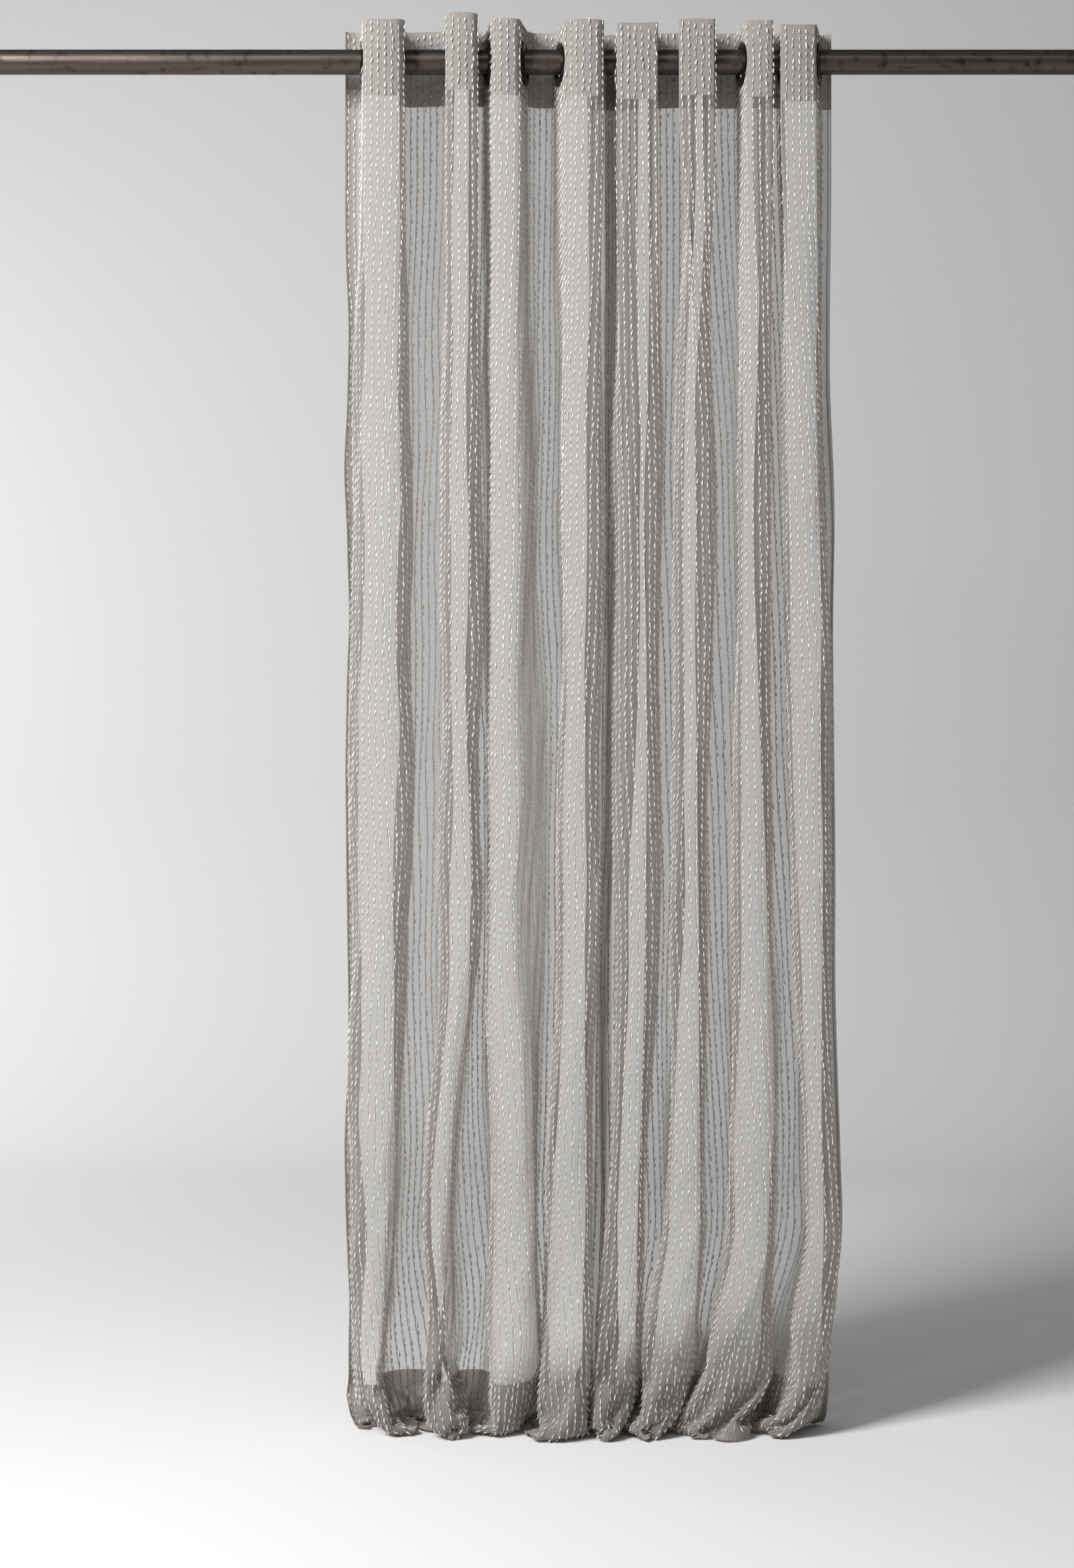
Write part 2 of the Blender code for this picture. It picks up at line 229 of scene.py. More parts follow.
def hanging_cloth(side, columns, rows):
    """The panel as a grid of points: rows down its length and columns across its width, both evenly spaced.

    Each row is the fitted line for its height, with the folds' own lifts added to its height, loose undulation to its
    place, and a groove and puckers at each crease: exp(-u^2) - 0.6 exp(-v^2), u and v being the distance from the
    crease over 3.5 mm, and from 9 mm below it over 8 mm. The full length reaches below the floor, which settled()
    brings up."""
    seed = 0 if side == "left" else 8
    half = seed // 2
    across = np.linspace(0, 1, columns)
    down = np.linspace(0, PANEL_LENGTH, rows)
    curves = np.array([resampled(fitted_line(side, k), across) for k in range(len(LEVELS))])
    # Each crown's place across the cloth is where the heading's line comes nearest to it.
    crowns = []
    for k in range(GROMMET_COUNT + 1):
        fold = (BACK_FOLDS if k % 2 == 0 else FRONT_FOLDS)[half + k // 2]
        lift = (BACK_LIFT if k % 2 == 0 else FRONT_LIFT)[half + k // 2]
        depth = (1 if k % 2 == 0 else -1) * FRONT_REACH[0]
        place = np.argmin(np.hypot(*(curves[0] - np.array([fold[0][0], depth]) * MM).T))
        crowns.append((across[place], lift * MM))
    lift = np.interp(across, *zip(*crowns))
    drop = down.copy()
    height = TOP - drop
    plan = eased(height, [TOP] + [-level for level in LEVELS], np.concatenate([curves[:1], curves]))
    s = across[None, :] * PANEL_WIDTH
    t = down[:, None]
    low = smoothstep(1.45, 1.95, drop)[:, None]
    z = height[:, None] + lift[None, :] * (1 - low)
    loose = smoothstep(0.10, 0.55, t)
    x = plan[..., 0] + MM * loose * (2.4 + 2 * low) * ripple(s, t, seed + 11, 7, ((0.15, 0.6), (0.25, 0.9)))
    d = plan[..., 1] + MM * loose * (2.2 + 3 * low) * ripple(s, t, seed + 23, 7, ((0.12, 0.5), (0.2, 0.8)))
    d = d + MM * low * 2.5 * ripple(s, t, seed + 31, 6, ((0.03, 0.09), (0.08, 0.2)))
    x = x + MM * loose * 0.7 * ripple(s, t, seed + 37, 6, ((0.02, 0.06), (0.12, 0.4)))
    for k, place in enumerate(CREASES):
        wander = place + 0.006 * ripple(s, 0, seed + 61 + k, 3, ((0.1, 0.4), (1, 2)))
        near = np.exp(-(((t - wander) / 0.0035) ** 2)) - 0.6 * np.exp(-(((t - wander - 0.009) / 0.008) ** 2))
        strength = 0.5 + 0.5 * np.tanh(1.5 * ripple(s, 0, seed + 71 + k, 4, ((0.08, 0.3), (1, 2))))
        pucker = np.exp(-(((t - wander) / 0.03) ** 2)) * ripple(s, t, seed + 81 + k, 5, ((0.015, 0.04), (0.1, 0.3)))
        d = d + MM * strength * (CREASE_DEPTH * near + PUCKER_DEPTH * pucker)
    return np.stack([x, POLE_Y + d, z], -1)


def on_grid(grid, s, t):
    """The grid read between its points, at s metres across and t metres down: a mean of the four around, weighted
    by nearness."""
    rows, columns = grid.shape[:2]
    c = np.clip(s / PANEL_WIDTH, 0, 1) * (columns - 1)
    r = np.clip(t / PANEL_LENGTH, 0, 1) * (rows - 1)
    c0 = np.minimum(c.astype(int), columns - 2)
    r0 = np.minimum(r.astype(int), rows - 2)
    fc = (c - c0)[..., None]
    fr = (r - r0)[..., None]
    upper = grid[r0, c0] * (1 - fc) + grid[r0, c0 + 1] * fc
    lower = grid[r0 + 1, c0] * (1 - fc) + grid[r0 + 1, c0 + 1] * fc
    return upper * (1 - fr) + lower * fr


def settled(cloth):
    """The panels with their lower ends set on the floor by a cloth simulation, both at once.

    A coarse copy of the free cloth hangs from its top rows while the floor is brought up under it. Its springs'
    rest lengths come from the flat sheet. Each row is also drawn to its first place by
    0.6 (1 - u / 0.7)^3, u being its share of the free length. What moved is read between the coarse points and
    added to the fine grid."""
    spacing = 0.009         # of the coarse copy
    columns = int(PANEL_WIDTH / spacing) + 1
    rows = int((PANEL_LENGTH - SETTLE_FROM) / spacing) + 1
    s, t = np.meshgrid(np.linspace(0, PANEL_WIDTH, columns), np.linspace(SETTLE_FROM, PANEL_LENGTH, rows))
    start = np.concatenate([on_grid(cloth[side], s, t).reshape(-1, 3) for side in cloth])
    flat = np.stack([s.ravel(), 0 * s.ravel(), -t.ravel()], 1)
    flat = np.concatenate([flat, flat + (2, 0, 0)])     # the two panels cut side by side
    r, c = np.meshgrid(np.arange(rows - 1), np.arange(columns - 1), indexing="ij")
    a = (r * columns + c).ravel()
    faces = np.stack([a, a + columns, a + columns + 1, a + 1], 1)
    faces = np.concatenate([faces, faces + rows * columns])
    mesh = bpy.data.meshes.new("free_cloth")
    mesh.from_pydata(start.tolist(), [], faces.tolist())
    obj = bpy.data.objects.new("free_cloth", mesh)
    bpy.context.scene.collection.objects.link(obj)
    obj.shape_key_add(name="hung")
    cut = obj.shape_key_add(name="cut")
    cut.data.foreach_set("co", flat.astype(np.float32).ravel())
    share = (t - SETTLE_FROM) / (PANEL_LENGTH - SETTLE_FROM)
    hold = np.where(share < 0.03, 1.0, np.round(0.6 * np.clip(1 - share / 0.7, 0, 1) ** 3, 3))
    hold = np.concatenate([hold.ravel(), hold.ravel()])
    group = obj.vertex_groups.new(name="held")
    for level in np.unique(hold):
        group.add(np.flatnonzero(hold == level).tolist(), float(level), "REPLACE")
    cloth_modifier = obj.modifiers.new("settle", "CLOTH")
    springs = cloth_modifier.settings
    springs.quality = 7
    springs.mass = 0.15
    springs.tension_stiffness = springs.compression_stiffness = 30
    springs.shear_stiffness = 8
    springs.bending_stiffness = 7.0
    springs.tension_damping = springs.compression_damping = 8
    springs.air_damping = 2
    springs.vertex_group_mass = "held"
    springs.pin_stiffness = 1
    springs.rest_shape_key = cut
    contact = cloth_modifier.collision_settings
    contact.distance_min = 0.002
    contact.use_self_collision = True
    contact.self_distance_min = 0.0022
    contact.self_friction = 8
    contact.collision_quality = 3
    ground = bpy.data.meshes.new("ground")
    ground.from_pydata([(-2, -2, 0), (2, -2, 0), (2, 2, 0), (-2, 2, 0)], [], [(0, 1, 2, 3)])
    under = bpy.data.objects.new("ground", ground)
    bpy.context.scene.collection.objects.link(under)
    under.modifiers.new("solid", "COLLISION")
    under.collision.cloth_friction = 40
    under.collision.thickness_outer = 0.002
    below = PANEL_LENGTH - (TOP - FLOOR) + HEM_REST
    risen, last = 45, 60    # the step by which the floor is up, and the last one
    cloth_modifier.point_cache.frame_end = last
    for step in range(1, last + 1):
        under.location.z = FLOOR - below * (1 - smoothstep(0, risen, step))
        bpy.context.scene.frame_set(step)
    graph = bpy.context.evaluated_depsgraph_get()
    result = np.empty(len(start) * 3, np.float32)
    obj.evaluated_get(graph).data.vertices.foreach_get("co", result)
    moved = (result.reshape(-1, 3) - start).reshape(len(cloth), rows, columns, 3)
    bpy.context.scene.frame_set(1)
    for used in (mesh, ground):
        bpy.data.meshes.remove(used)
    done = {}
    for shift, (side, grid) in zip(moved, cloth.items()):
        full_rows, full_columns = grid.shape[:2]
        down = np.linspace(0, PANEL_LENGTH, full_rows)
        r = np.clip((down - SETTLE_FROM) / (PANEL_LENGTH - SETTLE_FROM), 0, 1) * (rows - 1)
        c = np.linspace(0, columns - 1, full_columns)
        across = np.stack([cubic(shift[..., k].T, c).T for k in range(3)], -1)
        done[side] = grid + np.stack([cubic(across[..., k], r) for k in range(3)], -1)
    return done


def cubic(rows, places):
    """Rows read at fractional places by Catmull and Rom's cubic through the four nearest rows."""
    last = len(rows) - 1
    base = np.clip(np.floor(places).astype(int), 0, last - 1)
    f = (places - base)[:, None]
    p0, p1, p2, p3 = (rows[np.clip(base + k, 0, last)] for k in (-1, 0, 1, 2))
    return p1 + 0.5 * f * (p2 - p0 + f * (2 * p0 - 5 * p1 + 4 * p2 - p3 + f * (3 * (p1 - p2) + p3 - p0)))


def normals_of(grid):
    """Unit normals of a grid of points, on the cloth's right side: down crossed with across."""
    normal = np.cross(np.gradient(grid, axis=0), np.gradient(grid, axis=1))
    return normal / np.maximum(np.linalg.norm(normal, axis=-1, keepdims=True), 1e-12)


FINE = (1068, 681)          # columns a millimetre apart and rows three
CLOTH = {side: hanging_cloth(side, *FINE) for side in ("left", "right")}
CLOTH = settled(CLOTH)
FACING = {side: normals_of(grid) for side, grid in CLOTH.items()}


# ---------------------------------------------------------------------------------------------------------------
# The gauze. A sheer weave of fine grey polyester threads, about half open. It glows where light comes through it
# and turns smoky where two layers overlap or where it runs edge-on.
HOLE_RADIUS = 0.0245        # the heading is punched out this far from each grommet's centre


def near_grommet(side, points, radius):
    """True for the points this close to a grommet's centre."""
    return np.min([np.linalg.norm(points - np.array(c), axis=-1) for c in grommet_centres(side)], 0) < radius


def mesh_piece(name, points, faces, material, smooth=True):
    """An object at the origin from arrays of points and of faces with equally many corners."""
    mesh = bpy.data.meshes.new(name)
    corners = faces.shape[1]
    mesh.vertices.add(len(points))
    mesh.vertices.foreach_set("co", np.ascontiguousarray(points, np.float32).ravel())
    mesh.loops.add(faces.size)
    mesh.loops.foreach_set("vertex_index", np.ascontiguousarray(faces, np.int32).ravel())
    mesh.polygons.add(len(faces))
    mesh.polygons.foreach_set("loop_start", np.arange(0, faces.size, corners, dtype=np.int32))
    mesh.polygons.foreach_set("use_smooth", np.full(len(faces), smooth))
    mesh.update(calc_edges=True)
    mesh.materials.append(material)
    obj = bpy.data.objects.new(name, mesh)
    bpy.context.scene.collection.objects.link(obj)
    return obj


def hang(side, piece):
    """The piece, riding its panel: it slides with the outer grommet and closes up towards it when drawn."""
    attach(piece, f"{side}_stack")
    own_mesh(piece)
    return piece


def cloth_piece(name, side, s_range, t_range, columns, rows, lift, material):
    """A stretch of the panel, lifted this far off the cloth's middle towards its right side, with its holes.

    Its UV map is metres across and down the flat cloth. Its slant is 1 / |y| of the cloth's direction, which is how
    many times its own thickness the weave is looked through from the room."""
    s, t = np.meshgrid(np.linspace(*s_range, columns), np.linspace(*t_range, rows))
    facing = on_grid(FACING[side], s, t)
    facing = facing / np.linalg.norm(facing, axis=-1, keepdims=True)
    points = (on_grid(CLOTH[side], s, t) + facing * lift).reshape(-1, 3)
    r, c = np.meshgrid(np.arange(rows - 1), np.arange(columns - 1), indexing="ij")
    a = (r * columns + c).ravel()
    faces = np.stack([a, a + columns, a + columns + 1, a + 1], 1)
    faces = faces[~near_grommet(side, points[faces].mean(1), HOLE_RADIUS)]
    used, faces = np.unique(faces, return_inverse=True)
    faces = faces.reshape(-1, 4)
    obj = mesh_piece(name, points[used], faces, material)
    place = np.stack([s.ravel()[used], t.ravel()[used]], 1)
    obj.data.uv_layers.new(name="cloth").data.foreach_set("uv", place[faces.ravel()].astype(np.float32).ravel())
    depth = 1 / np.clip(np.abs(facing[..., 1].ravel()[used]), 0.14, 1)
    obj.data.attributes.new("slant", "FLOAT", "POINT").data.foreach_set("value", depth.astype(np.float32))
    return hang(side, obj)


def linear(colour):
    """An sRGB hex colour as linear red, green and blue."""
    parts = [int(colour[i : i + 2], 16) / 255 for i in (1, 3, 5)]
    return tuple(c / 12.92 if c <= 0.04045 else ((c + 0.055) / 1.055) ** 2.4 for c in parts)


def node(tree, kind, links=None, **settings):
    """A node with its settings, and its inputs as values, hex colours or other nodes' outputs."""
    made = tree.nodes.new(kind)
    for name, value in settings.items():
        setattr(made, name, value)
    for place, value in (links or {}).items():
        socket = made.inputs[place]
        if isinstance(value, bpy.types.NodeSocket):
            tree.links.new(value, socket)
        elif isinstance(value, str):
            socket.default_value = (*linear(value), 1)
        else:
            socket.default_value = value
    return made


def new_material(name):
    """An empty node material and its node tree."""
    made = bpy.data.materials.new(name)
    made.use_nodes = True
    made.node_tree.nodes.clear()
    return made, made.node_tree


YARN_PITCH = 0.00953        # from one boucle yarn to the next
WEFT_PITCH = 1 / 420        # thick and thin wefts; the real threads, a quarter of this, are too fine to show
WEFT_RUN = 1 / 30           # how long a weft stays thick or thin


def gauze_material(name, cover, colour, glow):
    """Open polyester weave: cover is the share of it that is thread, glow the share of light threads let through.

    Seen at a slant, the open share is the square-on one to the power of the slant, so the weave closes up."""
    made, tree = new_material(name)
    uv = node(tree, "ShaderNodeUVMap", uv_map="cloth")
    split = node(tree, "ShaderNodeSeparateXYZ", {0: uv.outputs[0]})
    wefts_per_metre = (1 / WEFT_RUN, 1 / WEFT_PITCH, 1)
    stretch = node(tree, "ShaderNodeVectorMath", {0: uv.outputs[0], 1: wefts_per_metre}, operation="MULTIPLY")
    wefts = node(tree, "ShaderNodeTexNoise", {"Vector": stretch.outputs[0], "Scale": 1.0, "Detail": 2.0})
    cloud = node(tree, "ShaderNodeTexNoise", {"Vector": uv.outputs[0], "Scale": 9.0, "Detail": 2.0})
    weave = node(tree, "ShaderNodeMath", {0: wefts.outputs[0], 1: 0.16}, operation="MULTIPLY")
    patch = node(tree, "ShaderNodeMath", {0: cloud.outputs[0], 1: 0.08}, operation="MULTIPLY")
    both = node(tree, "ShaderNodeMath", {0: weave.outputs[0], 1: patch.outputs[0]}, operation="ADD")
    gaps = node(tree, "ShaderNodeMath", {0: 1 - cover + 0.12, 1: both.outputs[0]}, operation="SUBTRACT")
    slant = node(tree, "ShaderNodeAttribute", attribute_name="slant")
    open_share = node(tree, "ShaderNodeMath", {0: gaps.outputs[0], 1: slant.outputs["Fac"]}, operation="POWER")
    thread = node(tree, "ShaderNodeMath", {0: 1.0, 1: open_share.outputs[0]}, operation="SUBTRACT")
    # The boucle yarn's thin core runs down every stripe, wandering a little from side to side.
    sway = node(tree, "ShaderNodeTexNoise", {"Vector": uv.outputs[0], "Scale": 55.0, "Detail": 1.0})
    drift = node(
        tree, "ShaderNodeMath", {0: sway.outputs[0], 1: 0.0022, 2: split.outputs[0]}, operation="MULTIPLY_ADD"
    )
    turns = node(tree, "ShaderNodeMath", {0: drift.outputs[0], 1: 1 / YARN_PITCH}, operation="MULTIPLY")
    share = node(tree, "ShaderNodeMath", {0: turns.outputs[0]}, operation="FRACT")
    away = node(tree, "ShaderNodeMath", {0: share.outputs[0], 1: 0.5}, operation="SUBTRACT")
    gap = node(tree, "ShaderNodeMath", {0: away.outputs[0]}, operation="ABSOLUTE")
    core = node(tree, "ShaderNodeMath", {0: gap.outputs[0], 1: 0.05}, operation="LESS_THAN")
    shown = node(
        tree, "ShaderNodeMath", {0: thread.outputs[0], 1: core.outputs[0]}, operation="MAXIMUM", use_clamp=True
    )
    face = node(tree, "ShaderNodeBsdfDiffuse", {"Color": colour, "Roughness": 0.6})
    through = node(tree, "ShaderNodeBsdfTranslucent", {"Color": colour})
    cloth = node(tree, "ShaderNodeMixShader", {0: glow, 1: face.outputs[0], 2: through.outputs[0]})
    clear = node(tree, "ShaderNodeBsdfTransparent")
    mixed = node(tree, "ShaderNodeMixShader", {0: shown.outputs[0], 1: clear.outputs[0], 2: cloth.outputs[0]})
    node(tree, "ShaderNodeOutputMaterial", {0: mixed.outputs[0]})
    return made


# Woven polyester voile: bright where one layer lets the light through, brown-grey where layers cross.
GAUZE = gauze_material("polyester_gauze", 0.37, "#B4AFA9", 0.32)
for SIDE in ("left", "right"):
    cloth_piece(
        f"{SIDE}_gauze", SIDE, (0, PANEL_WIDTH), (0, PANEL_LENGTH), 392, 222, 0.0003, GAUZE
    )
    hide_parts(f"{SIDE}_panel")


# ---------------------------------------------------------------------------------------------------------------
# The heading and the hems. The cloth is turned over at the top on a stiffening tape, and at the foot and the sides
# on itself, and stitched down, so these bands are dense and matt.
HEADING_DEPTH = 0.108
HEM_DEPTH = 0.100
SIDE_HEM = 0.018
# Voile over a pressed stiffening tape: opaque and evenly matt.
HEADING_CLOTH = gauze_material("backed_polyester", 0.97, "#BFBAB5", 0.20)
# Voile turned over twice: three layers, dull and nearly closed.
HEM_CLOTH = gauze_material("doubled_polyester", 0.76, "#AFA9A3", 0.25)
# Voile turned once down the sides: a soft edge a little denser than the cloth.
SIDE_CLOTH = gauze_material("turned_polyester", 0.40, "#ABA59F", 0.35)


def bands(side):
    """The panel's heading, hem and two side hems, each a strip of the cloth just behind it."""
    width, length = PANEL_WIDTH, PANEL_LENGTH
    spans = [
        (f"{side}_heading", (0, width), (0, HEADING_DEPTH), 392, 24, -0.0003, HEADING_CLOTH),
        (f"{side}_hem", (0, width), (length - HEM_DEPTH, length), 392, 30, -0.0008, HEM_CLOTH),
    ]
    for word, start in (("outer", 0.0), ("inner", width - SIDE_HEM)):
        drop = (HEADING_DEPTH, length - HEM_DEPTH)
        spans.append((f"{side}_{word}_side_hem", (start, start + SIDE_HEM), drop, 7, 200, -0.0008, SIDE_CLOTH))
    return [cloth_piece(name, side, *rest) for name, *rest in spans]


SEWN = {SIDE: bands(SIDE) for SIDE in ("left", "right")}


# ---------------------------------------------------------------------------------------------------------------
# The boucle yarns. Silver-white slubs are thrown in along every stripe, one after another like ears of wheat, each
# drawn out to a point with a stray hair or two.
def yarn_material():
    """Loosely spun viscose floss: satin and nearly white, a little greyer from slub to slub."""
    made, tree = new_material("silver_boucle")
    where = node(tree, "ShaderNodeTexCoord")
    tone = node(tree, "ShaderNodeTexNoise", {"Vector": where.outputs["Object"], "Scale": 160.0, "Detail": 1.0})
    ramp = node(tree, "ShaderNodeValToRGB", {0: tone.outputs[0]})
    ramp.color_ramp.elements[0].position = 0.35
    ramp.color_ramp.elements[0].color = (*linear("#E2DFDA"), 1)
    ramp.color_ramp.elements[1].position = 0.60
    ramp.color_ramp.elements[1].color = (*linear("#FFFEFB"), 1)
    floss = node(tree, "ShaderNodeBsdfPrincipled", {"Base Color": ramp.outputs[0], "Roughness": 0.38})
    floss.inputs["Sheen Weight"].default_value = 0.3
    node(tree, "ShaderNodeOutputMaterial", {0: floss.outputs[0]})
    return made


YARN_COUNT = int(PANEL_WIDTH / YARN_PITCH)
FLOSS = yarn_material()
SLUB_PITCH = 0.0105
SLUB_WIDE = 0.00120
SLUB_THICK = 0.0007
YARN_GROUPS = 3             # pieces per panel
HAIR_GIRTH = 0.00034
RING_CLEAR = 0.0335         # no slub is nearer than this to a grommet's centre


def unit(v):
    """Each vector over its own length."""
    return v / np.maximum(np.linalg.norm(v, axis=-1, keepdims=True), 1e-12)


def spindles(start, thin_end, wide_at, across, out, wide, thick, spin):
    """Closed spindles from start to thin_end with two triangular rings: (points, faces) of them all.

    A ring is three points of an ellipse, wide along across and thick along out."""
    count = len(start)
    points = np.empty((count, 8, 3))
    points[:, 0] = start
    points[:, 7] = thin_end
    for ring, (place, fat) in enumerate(wide_at):
        for corner in range(3):
            turn = spin + 2 * math.pi * corner / 3
            side = across * (wide * fat * np.cos(turn))[:, None] + out * (thick * fat * np.sin(turn))[:, None]
            points[:, 1 + 3 * ring + corner] = start + (thin_end - start) * place + side
    one = []
    for k in range(3):
        n = (k + 1) % 3
        one += [(0, 1 + k, 1 + n), (1 + n, 1 + k, 4 + k), (1 + n, 4 + k, 4 + n), (7, 4 + n, 4 + k)]
    return points.reshape(-1, 3), (np.array(one)[None] + (np.arange(count) * 8)[:, None, None]).reshape(-1, 3)


def hairs(root, tip, across, out, girth):
    """Thin closed three-sided spikes: (points, faces) of them all."""
    count = len(root)
    points = np.empty((count, 4, 3))
    for corner in range(3):
        turn = 2 * math.pi * corner / 3
        points[:, corner] = root + (across * math.cos(turn) + out * math.sin(turn)) * girth
    points[:, 3] = tip
    one = np.array([((k + 1) % 3, k, 3) for k in range(3)] + [(0, 1, 2)])
    return points.reshape(-1, 3), (one[None] + (np.arange(count) * 4)[:, None, None]).reshape(-1, 3)


def joined(shapes):
    """Several (points, faces) as one."""
    base = np.cumsum([0] + [len(points) for points, _ in shapes])
    return np.concatenate([p for p, _ in shapes]), np.concatenate([f + b for (_, f), b in zip(shapes, base)])


def boucle(side):
    """Slubs along the panel's yarns, a group of stripes to a piece: a slub's axis is the yarn's run, slanted."""
    chance = np.random.default_rng(7 if side == "left" else 8)
    per_yarn = int(PANEL_LENGTH / SLUB_PITCH) - 1
    pieces = []
    for group, members in enumerate(np.array_split(np.arange(YARN_COUNT), YARN_GROUPS)):
        yarn, bead = np.meshgrid(members, np.arange(per_yarn), indexing="ij")
        phase = chance.uniform(0, 1, len(members))[:, None]
        t = (bead + phase + chance.uniform(-0.12, 0.12, bead.shape)) * SLUB_PITCH + 0.002
        s = (yarn + 0.5) * YARN_PITCH + 0.0009 * ripple(yarn * 0.37, t, 3, 3, ((0.5, 2), (0.03, 0.1)))
        s = (s + chance.normal(0, 0.0003, s.shape)).ravel()
        t = t.ravel()
        centre = on_grid(CLOTH[side], s, t)
        keep = ~near_grommet(side, centre, RING_CLEAR)
        s, t, centre = s[keep], t[keep], centre[keep]
        out = unit(on_grid(FACING[side], s, t))
        run = unit(on_grid(CLOTH[side], s, t + 0.004) - on_grid(CLOTH[side], s, t - 0.004))
        across = unit(np.cross(run, out))
        count = len(s)
        length = SLUB_PITCH * chance.uniform(0.66, 1.0, count)[:, None]
        fat = chance.uniform(0.6, 1.3, count)
        axis = unit(run + across * chance.normal(0.10, 0.12, count)[:, None])
        stand = out * (0.0003 + SLUB_THICK * fat * 0.8)[:, None]
        start = centre + stand * 0.5 - axis * length * 0.5
        end = centre + stand * 1.2 + axis * length * 0.5 + out * chance.uniform(0.0002, 0.0014, count)[:, None]
        spin = chance.uniform(0, 2 * math.pi, count)
        shapes = [
            spindles(start, end, ((0.34, 0.8), (0.72, 1.0)), across, out, SLUB_WIDE * fat, SLUB_THICK * fat, spin)
        ]
        for _ in range(2):
            root = start + (end - start) * chance.uniform(0.6, 0.95, count)[:, None]
            stray = axis * chance.uniform(0.2, 1.2, count)[:, None] + out * chance.uniform(0.2, 1.1, count)[:, None]
            stray = unit(stray + across * chance.normal(0, 0.8, count)[:, None])
            reach = chance.uniform(0.0022, 0.0060, count)[:, None]
            shapes.append(hairs(root, root + stray * reach, across, out, HAIR_GIRTH))
        pieces.append(hang(side, mesh_piece(f"{side}_boucle_{group + 1}", *joined(shapes), FLOSS)))
    return pieces


for SIDE in ("left", "right"):
    SEWN[SIDE] += boucle(SIDE)


# ---------------------------------------------------------------------------------------------------------------
# The pole, brackets and end caps. Steel with a brown bronze patina in lighter and darker streaks along its length,
# mottled where the finish has aged.
def finish_node(name, material):
    """The node in this material, welded for smooth shading that breaks at its real edges, over 35 degrees."""
    obj = NODES[name]
    obj.data.materials.clear()
    obj.data.materials.append(material)
    weld = obj.modifiers.new("weld", "WELD")
    weld.merge_threshold = 0.00002
    split = obj.modifiers.new("edges", "EDGE_SPLIT")
    split.split_angle = math.radians(35)
    obj.data.polygons.foreach_set("use_smooth", np.full(len(obj.data.polygons), True))
    obj.data.update()


def patina_material():
    """Brown patina over steel: drawn-out streaks along the tube, darker spots and a worn satin shine."""
    made, tree = new_material("bronze_patina")
    where = node(tree, "ShaderNodeTexCoord")
    drawn = node(tree, "ShaderNodeMapping", {"Vector": where.outputs["Object"], "Scale": (5, 120, 120)})
    streaks = node(tree, "ShaderNodeTexNoise", {"Vector": drawn.outputs[0], "Scale": 1.0, "Detail": 5.0})
    spots = node(tree, "ShaderNodeTexNoise", {"Vector": where.outputs["Object"], "Scale": 70.0, "Detail": 4.0})
    colour = node(tree, "ShaderNodeMix", {0: streaks.outputs[0], 6: "#3B332E", 7: "#6D625B"}, data_type="RGBA")
    ramp = node(tree, "ShaderNodeMapRange", {0: spots.outputs[0], 1: 0.55, 2: 0.75})
    darker = node(tree, "ShaderNodeMix", {0: ramp.outputs[0], 6: colour.outputs[2], 7: "#2F2824"}, data_type="RGBA")
    rough = node(tree, "ShaderNodeMapRange", {0: streaks.outputs[0], 3: 0.30, 4: 0.46})
    bump = node(tree, "ShaderNodeBump", {"Strength": 0.1, "Distance": 0.0004, "Height": spots.outputs[0]})
    metal = node(
        tree,
        "ShaderNodeBsdfPrincipled",
        {"Base Color": darker.outputs[2], "Roughness": rough.outputs[0], "Normal": bump.outputs[0], "Metallic": 0.85},
    )
    node(tree, "ShaderNodeOutputMaterial", {0: metal.outputs[0]})
    return made


PATINA = patina_material()
for NAME in NODES:
    if NAME.startswith(("pole", "end_cap", "arm", "cradle", "wall_plate")):
        finish_node(NAME, PATINA)


# ---------------------------------------------------------------------------------------------------------------
# The grommets. Pressed brass rings with an oil-rubbed bronze plating, nearly black with a soft brown shine.
def grommet_material():
    """Oil-rubbed plating over pressed brass: nearly black, with brown wear and a soft shine."""
    made, tree = new_material("oil_rubbed_bronze")
    where = node(tree, "ShaderNodeTexCoord")
    wear = node(tree, "ShaderNodeTexNoise", {"Vector": where.outputs["Object"], "Scale": 130.0, "Detail": 3.0})
    colour = node(tree, "ShaderNodeMix", {0: wear.outputs[0], 6: "#2A221E", 7: "#4A3B32"}, data_type="RGBA")
    metal = node(
        tree, "ShaderNodeBsdfPrincipled", {"Base Color": colour.outputs[2], "Roughness": 0.32, "Metallic": 0.85}
    )
    node(tree, "ShaderNodeOutputMaterial", {0: metal.outputs[0]})
    return made


BRONZE = grommet_material()
for NAME in NODES:
    if NAME.startswith("grommet"):
        finish_node(NAME, BRONZE)


# ---------------------------------------------------------------------------------------------------------------
# The screws. Blackened steel, turned and then blued, with a slight machined brightness.
def screw_material():
    """Blued steel: dark grey, with uneven machined gloss."""
    made, tree = new_material("blackened_steel")
    where = node(tree, "ShaderNodeTexCoord")
    wear = node(tree, "ShaderNodeTexNoise", {"Vector": where.outputs["Object"], "Scale": 300.0, "Detail": 2.0})
    rough = node(tree, "ShaderNodeMapRange", {0: wear.outputs[0], 3: 0.28, 4: 0.45})
    metal = node(
        tree, "ShaderNodeBsdfPrincipled", {"Base Color": "#55514D", "Roughness": rough.outputs[0], "Metallic": 1.0}
    )
    node(tree, "ShaderNodeOutputMaterial", {0: metal.outputs[0]})
    return made


BLACK_STEEL = screw_material()
for NAME in NODES:
    if "screw" in NAME:
        finish_node(NAME, BLACK_STEEL)


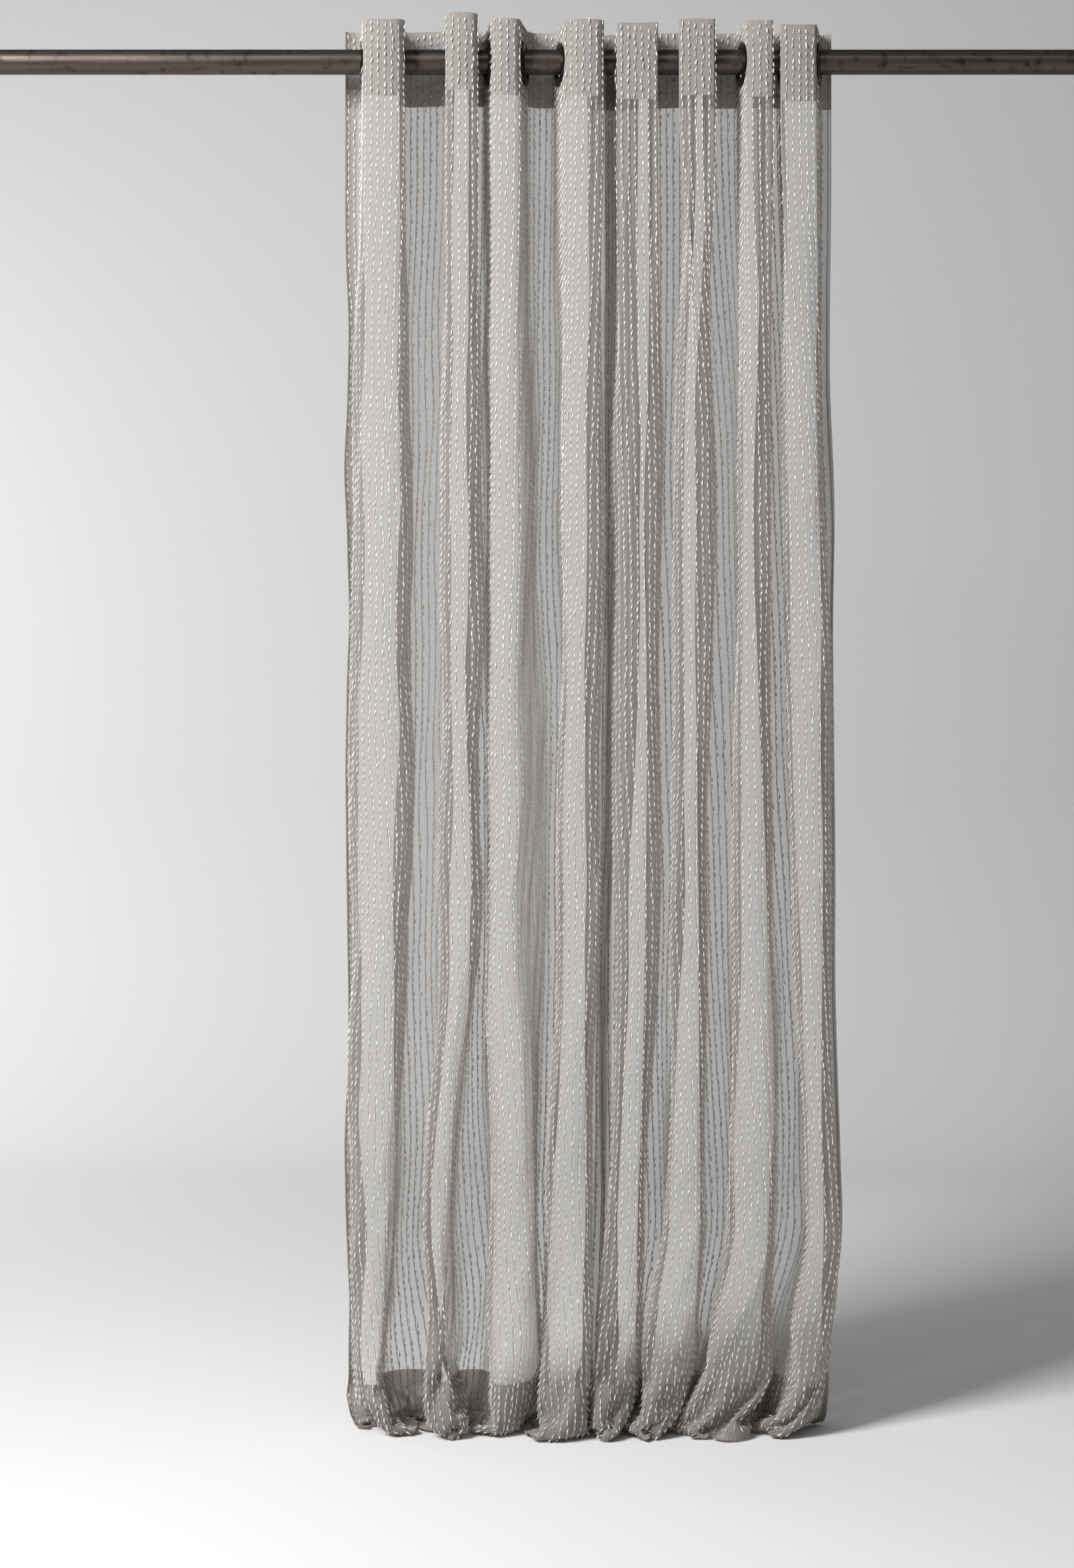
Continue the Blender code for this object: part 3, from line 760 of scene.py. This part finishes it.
# ---------------------------------------------------------------------------------------------------------------
# The studio. A pale floor sweeping up into a backdrop, lit from the left and from above, with a long-lens camera
# level with the curtains' middle.
def studio():
    """A paper sweep a little wider than the view: flat, then a quarter round, then upright; and the floor."""
    made, tree = new_material("studio_paper")
    where = node(tree, "ShaderNodeTexCoord")
    split = node(tree, "ShaderNodeSeparateXYZ", {0: where.outputs["Object"]})
    # The same paper is painted lighter on the floor and darker up the backdrop: painted shade for the upright part
    # getting less light.
    painted_shade_rise = node(tree, "ShaderNodeMapRange", {0: split.outputs[2], 1: FLOOR, 2: FLOOR + 0.9})
    tone = node(tree, "ShaderNodeMix", {0: painted_shade_rise.outputs[0], 6: "#F8F7F7", 7: "#E9E8E8"}, data_type="RGBA")
    paper = node(tree, "ShaderNodeBsdfDiffuse", {"Color": tone.outputs[2]})
    node(tree, "ShaderNodeOutputMaterial", {0: paper.outputs[0]})
    turn = np.linspace(0, math.pi / 2, 17)
    radius = 0.9
    back = 3.2
    y = np.concatenate([[-9.0], back - radius + radius * np.sin(turn), [back]])
    z = np.concatenate([[FLOOR], FLOOR + radius - radius * np.cos(turn), [1.6]])
    x = np.linspace(-2.3, 2.3, 3)
    rows = len(y)
    points = np.stack([np.repeat(x[None], rows, 0), np.repeat(y[:, None], 3, 1), np.repeat(z[:, None], 3, 1)], -1)
    r, c = np.meshgrid(np.arange(rows - 1), np.arange(2), indexing="ij")
    a = (r * 3 + c).ravel()
    mesh_piece("sweep", points.reshape(-1, 3), np.stack([a, a + 1, a + 4, a + 3], 1), made)
    corners = np.array([(-9, -9, 0), (9, -9, 0), (9, 9, 0), (-9, 9, 0)]) + (0, 0, FLOOR - 0.0002)
    mesh_piece("floor", corners, np.array([[0, 1, 2, 3]]), made)


def area_light(name, place, aim, size, power):
    light = bpy.data.lights.new(name, "AREA")
    light.shape = "RECTANGLE"
    light.size, light.size_y = size
    light.energy = power
    obj = bpy.data.objects.new(name, light)
    obj.location = place
    obj.rotation_euler = (Vector(aim) - Vector(place)).to_track_quat("-Z", "Y").to_euler()
    bpy.context.scene.collection.objects.link(obj)


studio()
area_light("key", (-2.1, -2.3, 1.0), (0.0, -0.1, -0.6), (1.1, 1.5), 165)
area_light("overhead", (0.0, -3.0, 1.9), (0.0, 0.0, -0.7), (2.6, 0.9), 15)
area_light("backdrop_left", (-3.1, 1.7, -0.3), (-1.5, 3.2, -1.3), (0.9, 1.4), 25)
world = bpy.data.worlds.new("studio")
bpy.context.scene.world = world
world.use_nodes = True
world.node_tree.nodes["Background"].inputs[0].default_value = (1, 1, 1, 1)
world.node_tree.nodes["Background"].inputs[1].default_value = 0.10

EYE = (-0.076, POLE_Y - 3.715, -1.026)
lens = bpy.data.cameras.new("camera")
lens.lens = 60.0
lens.sensor_width = 36.0
camera = bpy.data.objects.new("camera", lens)
camera.location = EYE
camera.rotation_euler = (math.pi / 2, 0, 0)
bpy.context.scene.collection.objects.link(camera)
bpy.context.scene.camera = camera
bpy.context.scene.view_settings.view_transform = "Standard"
